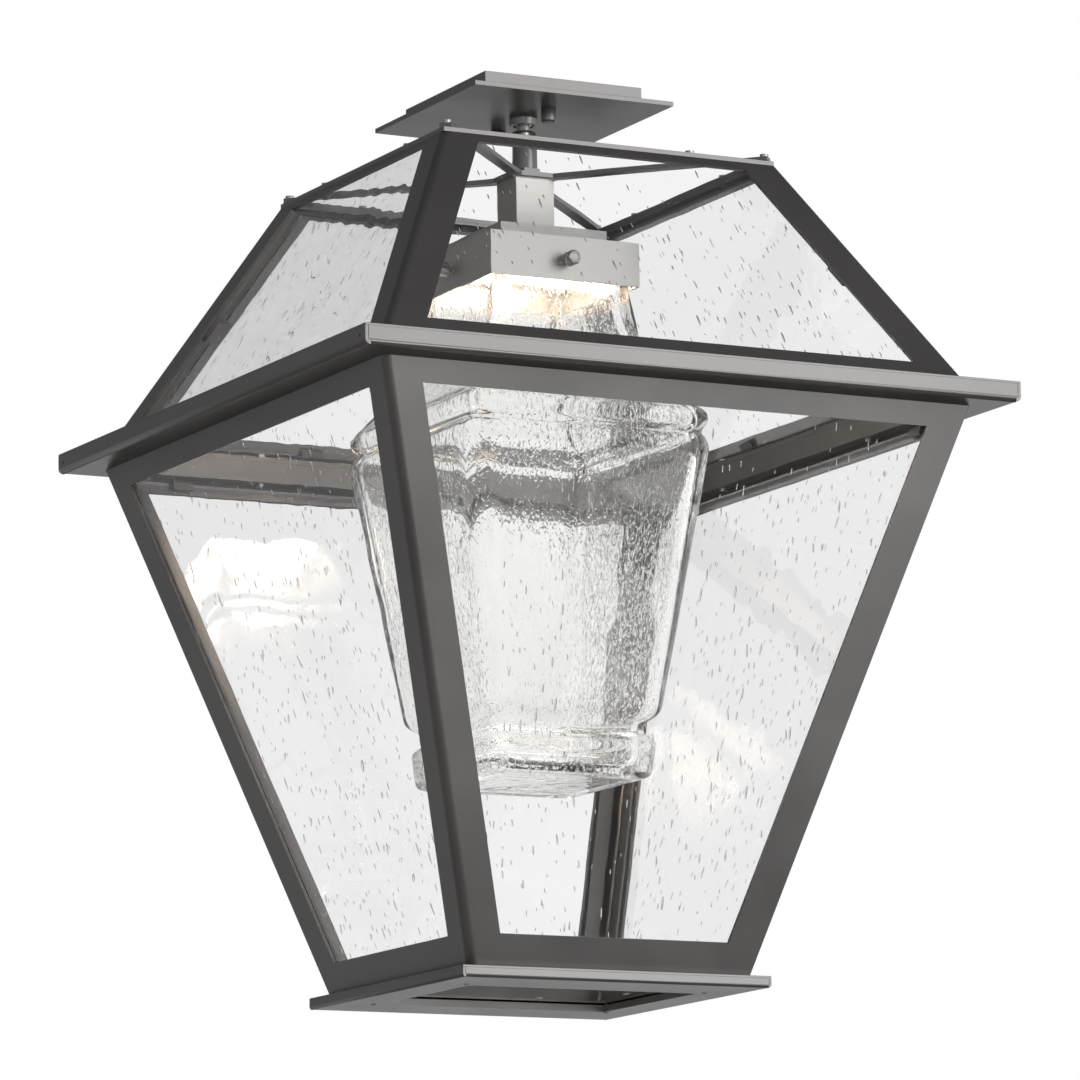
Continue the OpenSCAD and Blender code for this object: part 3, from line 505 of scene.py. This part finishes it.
def seeded_pane(node, glass):
    """A pane with its seeds: small bubbles drawn out down the slope, as hollows in the sheet."""
    middle, along, down, out, half_long, half_top, half_foot = pane_plane(node)
    bm = bmesh.new()
    bm.from_mesh(NODES[node].data)
    bmesh.ops.remove_doubles(bm, verts=bm.verts, dist=0.01 * MM)
    for face in bm.faces:
        face.smooth = False
    dice = random.Random(node)
    margin = SEED_MARGIN * MM
    area = 2 * half_long * (half_top + half_foot)
    wanted = round(area / glass.seed_spacing**2)
    placed = []
    while len(placed) < wanted:
        drop = dice.uniform(-1, 1) * (half_long - margin)
        share = (drop / half_long + 1) / 2
        half = half_top + (half_foot - half_top) * share - margin
        across = dice.uniform(-1, 1) * (max(half_top, half_foot) - margin)
        if abs(across) > half:
            continue
        if any(
            abs(across - a) < SEED_ROOM_ACROSS * MM and abs(drop - d) < SEED_ROOM_DOWN * MM
            for a, d in placed
        ):
            continue
        placed.append((across, drop))
        size = dice.lognormvariate(0, SEED_SPREAD)
        long = min(glass.seed_long * size, SEED_LONGEST * MM) / 2
        wide = min(glass.seed_wide * size**0.5, SEED_WIDEST * MM) / 2
        deep = min(wide, SEED_DEEPEST * MM / 2)
        depth = dice.uniform(-1, 1) * (PANE_THICK * MM / 2 - deep - SEED_COVER * MM)
        lean = dice.gauss(SEED_LEAN, SEED_LEAN_SPREAD)
        long_axis = (down * math.cos(lean) + along * math.sin(lean)).normalized()
        wide_axis = long_axis.cross(out).normalized()
        spot = middle + along * across + down * drop + out * depth
        seed_shell(bm, spot, (wide_axis, long_axis, out), (wide, long, deep))
    new_piece(node + "_seeded", bm, node)


# Moulded glass, from its rim down: drop, half width and corner radius in millimetres
JAR_NECK = ((0, 49.9, 4), (1.2, 50.3, 4), (2.2, 50.0, 4), (3.0, 49.3, 4), (24, 49.3, 4))
JAR_FLARE_DROP = 95.5
JAR_FLARE_HALF = 79.5
JAR_FLARE_STEPS = 8
JAR_LOWER = (
    # Collar, groove and bead
    (98.5, 83.5, 4), (102, 85.5, 4), (108.5, 84.8, 4), (111, 82, 4), (114.5, 82, 5), (116, 84.5, 7),
    (119.5, 86.4, 9), (125.5, 87, 10),
    # Long taper, lower groove and bottom ring
    (291, 62.5, 11), (294, 59.5, 11), (298, 53.5, 10), (304.5, 53.5, 9), (307.5, 58, 8),
    (310.5, 59, 8), (329.5, 57, 8), (332, 55, 7), (333.4, 51, 6),
    # Pushed-up floor
    (333, 40, 5), (332.4, 20, 4), (332.2, 3, 1),
)
JAR_WALL = 4.5
# The lining's corners are this much rounder than the outside, so the glass is thick there
JAR_CORNER = 6
JAR_LINING_HEAD = (0, 49.3 - JAR_WALL, 3)
# The lining follows the outside between these drops, and then has an outline of its own
JAR_WALL_FROM, JAR_WALL_TO = 20, 288
JAR_LINING_FOOT = ((289, 58, 8), (296, 49, 8), (320, 49, 8), (326.5, 44, 8), (326.5, 3, 1))
JAR_CORNER_STEPS = 6
JAR_SIDE_STEPS = 26
# Ripples of the walls and of the floor, in millimetres, and how much deeper the floor's are
JAR_RIPPLE_WIDE, JAR_RIPPLE_LONG = 16, 26
JAR_FLOOR_RIPPLE = 7
JAR_FLOOR_DEEPER = 1.6
# The ripples grow over the first stretch below the rim, so the neck fits the fitter box
JAR_RIPPLE_FADE = 30
JAR_FLOOR_DROP, JAR_FLOOR_HALF = 300, 43
# Keeps the ripples of the outside and of the inside apart
JAR_SHELL_GAP = 40


def jar_outline():
    """The moulded glass's outside as (drop, half width, corner radius), with flared shoulders."""
    neck_drop, neck_half, neck_radius = JAR_NECK[-1]
    flare = []
    for i in range(1, JAR_FLARE_STEPS + 1):
        share = i / JAR_FLARE_STEPS
        swell = 1 - math.cos(math.pi / 2 * share)
        flare.append((
            neck_drop + (JAR_FLARE_DROP - neck_drop) * share,
            neck_half + (JAR_FLARE_HALF - neck_half) * swell,
            neck_radius + share,
        ))
    return [*JAR_NECK, *flare, *JAR_LOWER]


def jar_lining(outline):
    """The inside of the moulded glass: its outline one wall in, without the rim's lip and ring."""
    walls = [
        (drop, half - JAR_WALL, radius + JAR_CORNER)
        for drop, half, radius in outline
        if JAR_WALL_FROM < drop < JAR_WALL_TO
    ]
    return [JAR_LINING_HEAD, *walls, *JAR_LINING_FOOT]


def fine_rings(keys, step):
    """Splits the stretches between key levels into short steps, and rounds off the corners by
    averaging each level with its neighbours, twice."""
    fine = [keys[0]]
    for here, there in zip(keys, keys[1:]):
        parts = max(1, math.ceil(math.dist(here[:2], there[:2]) / step))
        fine += [
            tuple(a + (b - a) * i / parts for a, b in zip(here, there)) for i in range(1, parts + 1)
        ]
    for _ in range(2):
        middles = [
            tuple((a + 2 * b + c) / 4 for a, b, c in zip(*three))
            for three in zip(fine, fine[1:], fine[2:])
        ]
        fine = [fine[0], *middles, fine[-1]]
    return fine


def square_ring(half, radius):
    """Points round a square with round corners, with the same count for every size."""
    points = []
    for quarter in range(4):
        turn = Matrix.Rotation(quarter * math.pi / 2, 2)
        for i in range(JAR_CORNER_STEPS):
            angle = math.pi / 2 * i / JAR_CORNER_STEPS
            points.append(turn @ Vector((
                half - radius + radius * math.cos(angle), half - radius + radius * math.sin(angle)
            )))
        for i in range(JAR_SIDE_STEPS):
            points.append(turn @ Vector(((half - radius) * (1 - 2 * i / JAR_SIDE_STEPS), half)))
    return points


def rippled(place, drop, half, shell, depth):
    """A point of the moulded glass, moved by the ripples of its mould: in and out on the walls, and
    up and down on the floor."""
    if drop > JAR_FLOOR_DROP and half < JAR_FLOOR_HALF:
        width = JAR_FLOOR_RIPPLE * MM
        sample = Vector((place.x / width, place.y / width, shell))
        return place + Vector((0, 0, noise.noise(sample) * depth * JAR_FLOOR_DEEPER))
    wide, long = JAR_RIPPLE_WIDE * MM, JAR_RIPPLE_LONG * MM
    sample = Vector((place.x / wide, place.y / wide, place.z / long + shell))
    push = noise.noise(sample) * depth * min(1, drop / JAR_RIPPLE_FADE)
    return place + Vector((place.x, place.y, 0)).normalized() * push


def jar(glass):
    """The thick square moulded glass, with the ripples of its mould."""
    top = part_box("glass_diffuser")[1].z
    outline = jar_outline()
    bm = bmesh.new()
    shells = []
    for keys, shell in ((outline, JAR_SHELL_GAP), (jar_lining(outline), -JAR_SHELL_GAP)):
        rings = []
        for drop, half, radius in fine_rings(keys, glass.jar_step / MM):
            places = [
                Vector((point.x, point.y, top - drop * MM))
                for point in square_ring(half * MM, radius * MM)
            ]
            rings.append([
                bm.verts.new(rippled(place, drop, half, shell, glass.jar_ripple))
                for place in places
            ])
        shells.append(rings)
    outside, inside = shells
    count = len(outside[0])
    for rings, order in ((outside, 1), (inside, -1)):
        for high, low in zip(rings, rings[1:]):
            for i in range(count):
                j = (i + 1) % count
                bm.faces.new((high[i], low[i], low[j], high[j])[::order])
    bm.faces.new(outside[-1][::-1])
    bm.faces.new(inside[-1])
    for i in range(count):
        j = (i + 1) % count
        bm.faces.new((outside[0][i], outside[0][j], inside[0][j], inside[0][i]))
    bmesh.ops.recalc_face_normals(bm, faces=bm.faces)
    for face in bm.faces:
        face.smooth = len(face.verts) == 4
    new_piece("moulded_jar", bm, "glass_diffuser")


# Thumb screws. Radii and lengths are in millimetres
KNURLS = 28
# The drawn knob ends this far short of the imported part's plain one
KNOB_SHORT = 2.5
SHANK = 1.72
SHANK_TIP, SHANK_CHAMFER = 0.9, 0.6
THREAD_PITCH, THREAD_DEPTH = 0.7, 0.28
THREAD_START = 0.8
# From the shoulder to the dished end: distance from the end, radius, and depth of the knurl
KNOB = (
    (9.8, SHANK, 0), (9.7, 3.0, 0), (9.4, 3.3, 0), (8.7, 3.3, 0), (8.6, 3.85, 0), (8.0, 4.75, 0),
    (7.7, 4.75, 0.32), (1.1, 4.75, 0.32), (0.8, 4.75, 0), (0.2, 4.15, 0), (0, 3.85, 0),
    (0, 3.25, 0), (0.35, 2.85, 0), (0.4, 0.4, 0),
)
THREAD_END = 10.1


def thumb_screw(side, material):
    """A thumb screw turned from rod: threaded shank, shoulder, and a knob with straight knurls, a
    chamfered edge and a shallow dish in its end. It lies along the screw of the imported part."""
    node = "thumb_screw_" + SIDES[side]
    # Every screw is made as the front one, which lies along Y, and then turned to its side
    low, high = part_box("thumb_screw_front")
    middle = Vector((0, 0, (low.z + high.z) / 2))
    tip, end = high.y, low.y + KNOB_SHORT * MM
    pitch = THREAD_PITCH * MM
    outline = [(tip, SHANK_TIP, 0), (tip - SHANK_CHAMFER * MM, SHANK, 0)]
    for i in range(int((tip - end - THREAD_END * MM) / pitch) - 1):
        crest = tip - THREAD_START * MM - i * pitch
        outline += [(crest, SHANK, 0), (crest - pitch / 2, SHANK - THREAD_DEPTH, 0)]
    outline += [(end + gap * MM, radius, groove) for gap, radius, groove in KNOB]
    bm = bmesh.new()
    around = 2 * KNURLS
    rings = []
    for y, radius, groove in outline:
        ring = []
        for i in range(around):
            turn = 2 * math.pi * i / around
            reach = (radius - groove * (i % 2)) * MM
            spot = Vector((reach * math.cos(turn), y, reach * math.sin(turn)))
            ring.append(bm.verts.new(middle + spot))
        rings.append(ring)
    for here, there in zip(rings, rings[1:]):
        for i in range(around):
            j = (i + 1) % around
            bm.faces.new((here[i], here[j], there[j], there[i]))
    bm.faces.new(rings[0][::-1])
    bm.faces.new(rings[-1])
    bmesh.ops.recalc_face_normals(bm, faces=bm.faces)
    bmesh.ops.rotate(bm, verts=bm.verts, matrix=Matrix.Rotation(side * math.pi / 2, 3, "Z"))
    for face in bm.faces:
        face.smooth = len(face.verts) == 4
    piece = new_piece(node + "_knurled", bm, node, material)
    sharp = piece.modifiers.new("edges", "EDGE_SPLIT")
    sharp.split_angle = math.radians(30)


# ---- stage ----


def straight_rays(tree, rays):
    """A socket that is 1 for rays that have bounced off nothing, and come from the camera straight
    or through glass, and 0 for the others."""
    bounced = add_node(
        tree, "ShaderNodeMath", {},
        {0: rays.outputs["Glossy Depth"], 1: rays.outputs["Diffuse Depth"]}, operation="ADD",
    )
    straight = add_node(
        tree, "ShaderNodeMath", {1: 0.5}, {0: bounced.outputs[0]}, operation="LESS_THAN"
    )
    return straight.outputs[0]


def make_floor(stage):
    """A plain pale floor that is white in the camera and in glass, and keeps its shadow."""
    bm = bmesh.new()
    bmesh.ops.create_grid(bm, x_segments=1, y_segments=1, size=stage.floor_reach)
    mesh = bpy.data.meshes.new("floor")
    bm.to_mesh(mesh)
    bm.free()
    floor = bpy.data.objects.new("floor", mesh)
    floor.location.z = -stage.floor_drop
    bpy.context.scene.collection.objects.link(floor)
    material, tree, shader = new_material("paint_matt_rolled", linear("#F4F4F2"), 0.9)
    # Its own light fills it up to white where the camera looks at it, straight or through glass
    rays = add_node(tree, "ShaderNodeLightPath")
    glow = add_node(
        tree, "ShaderNodeMath", {1: 0.8}, {0: straight_rays(tree, rays)}, operation="MULTIPLY"
    )
    tree.links.new(glow.outputs[0], shader.inputs["Emission Strength"])
    shader.inputs["Emission Color"].default_value = WHITE
    material.cycles.emission_sampling = "NONE"
    mesh.materials.append(material)


def make_world():
    """A white surround behind the lantern, as the camera sees it past and through the glass. What
    lights the lantern and shows in its gloss is softer: dim towards the ceiling and towards the
    left and back."""
    world = bpy.data.worlds.new("studio")
    bpy.context.scene.world = world
    world.use_nodes = True
    tree = world.node_tree
    tree.nodes.clear()
    output = add_node(tree, "ShaderNodeOutputWorld")
    rays = add_node(tree, "ShaderNodeLightPath")
    white = add_node(tree, "ShaderNodeBackground", {"Color": WHITE, "Strength": 1.0})
    place = add_node(tree, "ShaderNodeTexCoord").outputs["Generated"]
    # Brightest towards the right and front
    towards = add_node(
        tree, "ShaderNodeVectorMath", {1: (0.72, -0.69, 0)}, {0: place}, operation="DOT_PRODUCT"
    )
    side = add_node(
        tree, "ShaderNodeMapRange",
        {"From Min": -0.95, "From Max": 0.4, "To Min": 0.3, "To Max": 1.4},
        {"Value": towards.outputs["Value"]},
    )
    # Dark overhead, where the ceiling is
    rise = add_node(tree, "ShaderNodeSeparateXYZ", {}, {0: place})
    shade = add_node(
        tree, "ShaderNodeMapRange",
        {"From Min": -0.15, "From Max": 0.65, "To Min": 1.0, "To Max": 0.08},
        {"Value": rise.outputs["Z"]}, interpolation_type="SMOOTHSTEP",
    )
    level = add_node(
        tree, "ShaderNodeMath", {}, {0: side.outputs[0], 1: shade.outputs[0]}, operation="MULTIPLY"
    )
    # Past the floor's edge the surround goes on as pale as the floor
    floor_light = add_node(
        tree, "ShaderNodeMapRange",
        {"From Min": -0.4, "From Max": 0.0, "To Min": 0.9, "To Max": 0.0},
        {"Value": rise.outputs["Z"]},
    )
    best = add_node(
        tree, "ShaderNodeMath", {}, {0: level.outputs[0], 1: floor_light.outputs[0]},
        operation="MAXIMUM",
    )
    soft = add_node(tree, "ShaderNodeBackground", {"Color": WHITE}, {"Strength": best.outputs[0]})
    # A ray that has bounced off metal before it leaves through a pane sees the soft light, not the
    # white. More than four surfaces of glass mean that it came through the moulded glass, which
    # sends light round inside itself and is clear
    thick = add_node(
        tree, "ShaderNodeMath", {1: 4.5}, {0: rays.outputs["Transmission Depth"]},
        operation="GREATER_THAN",
    )
    clear = add_node(
        tree, "ShaderNodeMath", {}, {0: straight_rays(tree, rays), 1: thick.outputs[0]},
        operation="MAXIMUM",
    )
    mix = add_node(
        tree, "ShaderNodeMixShader", {},
        {0: clear.outputs[0], 1: soft.outputs[0], 2: white.outputs[0]},
    )
    tree.links.new(mix.outputs[0], output.inputs["Surface"])


def make_softbox(stage):
    """A tall softbox at the front right, aimed at the lantern and not seen by the camera."""
    # In metres, a little above the ceiling's level, so that the brim's and base's edges shine
    place = Vector((1.57, -2.96, 0.12))
    lamp = bpy.data.lights.new("key", "AREA")
    lamp.shape = "RECTANGLE"
    lamp.size = stage.key_width
    lamp.size_y = stage.key_height
    lamp.energy = stage.key_power
    box = bpy.data.objects.new("key", lamp)
    box.location = place
    look = Vector((0, 0, -stage.aim_drop)) - place
    box.rotation_euler = look.to_track_quat("-Z", "Y").to_euler()
    box.visible_camera = False
    # Through the panes it would show as pale veils
    box.visible_transmission = False
    bpy.context.scene.collection.objects.link(box)


# Width of the camera's sensor, and of the picture
SENSOR_MM = 36
FRAME_PX = 1080


def make_camera(stage):
    """The camera at the photograph's angle, with no shift and no depth of field."""
    azimuth, elevation = stage.camera_azimuth, stage.camera_elevation
    back = Vector((
        -math.sin(azimuth) * math.cos(elevation), -math.cos(azimuth) * math.cos(elevation),
        math.sin(elevation),
    ))
    right = (-back).cross(Vector((0, 0, 1))).normalized()
    up = right.cross(-back)
    turn = Matrix.Rotation(stage.camera_roll, 3, back)
    aim = right * stage.aim_side + Vector((0, 0, -stage.aim_drop))
    data = bpy.data.cameras.new("camera")
    data.sensor_width = SENSOR_MM
    data.lens = stage.focal_px / FRAME_PX * SENSOR_MM
    data.clip_end = 50
    camera = bpy.data.objects.new("camera", data)
    axes = Matrix((turn @ right, turn @ up, back)).transposed()
    camera.matrix_world = Matrix.Translation(aim + back * stage.camera_distance) @ axes.to_4x4()
    bpy.context.scene.collection.objects.link(camera)
    bpy.context.scene.camera = camera


# ---- operators and panel ----


class LANTERN_OT_metalwork(bpy.types.Operator):
    """Finishes the canopy, frames, brim and base in powder coat, with softened sheet edges."""

    bl_idname = "lantern.metalwork"
    bl_label = "Finish the metalwork"

    def execute(self, context):
        dress([node for node, slot in SLOT_OF.items() if slot == "powder_coat"], 0.2)
        return {"FINISHED"}


class LANTERN_OT_fitter(bpy.types.Operator):
    """Finishes the light fitter, its board and lens, and the fixings and hidden hardware."""

    bl_idname = "lantern.fitter"
    bl_label = "Finish the light fitter"

    def execute(self, context):
        others = ("powder_coat", "seeded_glass", "moulded_glass")
        dress([node for node, slot in SLOT_OF.items() if slot not in others], 0)
        return {"FINISHED"}


class LANTERN_OT_thumb_screws(bpy.types.Operator):
    """Turns the four knurled screws that hold the moulded glass."""

    bl_idname = "lantern.thumb_screws"
    bl_label = "Turn the thumb screws"

    def execute(self, context):
        polished = turned_aluminium(context.scene.lantern_colours.aluminium)
        for side in range(len(SIDES)):
            thumb_screw(side, polished)
        return {"FINISHED"}


class LANTERN_OT_panes(bpy.types.Operator):
    """Glazes the roof and the body with seeded panes."""

    bl_idname = "lantern.panes"
    bl_label = "Glaze the panes"

    def execute(self, context):
        glass = context.scene.lantern_glass
        for part in ("roof_pane_", "body_pane_"):
            for side in SIDES:
                seeded_pane(part + side, glass)
        return {"FINISHED"}


class LANTERN_OT_jar(bpy.types.Operator):
    """Moulds the thick square glass under the light fitter."""

    bl_idname = "lantern.jar"
    bl_label = "Mould the inner glass"

    def execute(self, context):
        jar(context.scene.lantern_glass)
        return {"FINISHED"}


class LANTERN_OT_stage(bpy.types.Operator):
    """Sets up the floor, the pale surround, the softbox and the camera."""

    bl_idname = "lantern.stage"
    bl_label = "Set up the stage"

    def execute(self, context):
        scene = context.scene
        make_floor(scene.lantern_stage)
        make_world()
        make_softbox(scene.lantern_stage)
        make_camera(scene.lantern_stage)
        scene.view_settings.view_transform = "Standard"
        # Light has to find its way through two panes, the moulded glass and their seeds
        scene.cycles.max_bounces = 32
        scene.cycles.transmission_bounces = 32
        scene.cycles.glossy_bounces = 8
        return {"FINISHED"}


OPERATORS = (
    LANTERN_OT_metalwork, LANTERN_OT_fitter, LANTERN_OT_thumb_screws, LANTERN_OT_panes,
    LANTERN_OT_jar, LANTERN_OT_stage,
)


class LANTERN_PT_panel(bpy.types.Panel):
    """Lists the lantern's pieces and settings."""

    bl_idname = "LANTERN_PT_panel"
    bl_label = "Porch Ceiling Lantern"
    bl_space_type = "VIEW_3D"
    bl_region_type = "UI"
    bl_category = "Lantern"

    def draw(self, context):
        for operator in OPERATORS:
            self.layout.operator(operator.bl_idname)
        scene = context.scene
        for group in (scene.lantern_colours, scene.lantern_glass, scene.lantern_stage):
            for key in group.__annotations__:
                self.layout.prop(group, key)


# ---- running ----

CLASSES = (LanternColours, LanternGlass, LanternStage, *OPERATORS, LANTERN_PT_panel)


def register():
    """Registers the classes and hangs the settings on the scene."""
    for cls in CLASSES:
        bpy.utils.register_class(cls)
    bpy.types.Scene.lantern_colours = bpy.props.PointerProperty(type=LanternColours)
    bpy.types.Scene.lantern_glass = bpy.props.PointerProperty(type=LanternGlass)
    bpy.types.Scene.lantern_stage = bpy.props.PointerProperty(type=LanternStage)


def unregister():
    """Takes the settings and classes away again."""
    del bpy.types.Scene.lantern_stage
    del bpy.types.Scene.lantern_glass
    del bpy.types.Scene.lantern_colours
    for cls in reversed(CLASSES):
        bpy.utils.unregister_class(cls)


def main():
    register()
    bpy.ops.lantern.metalwork()
    bpy.ops.lantern.fitter()
    bpy.ops.lantern.thumb_screws()
    bpy.ops.lantern.panes()
    bpy.ops.lantern.jar()
    bpy.ops.lantern.stage()


if __name__ == "__main__":
    main()
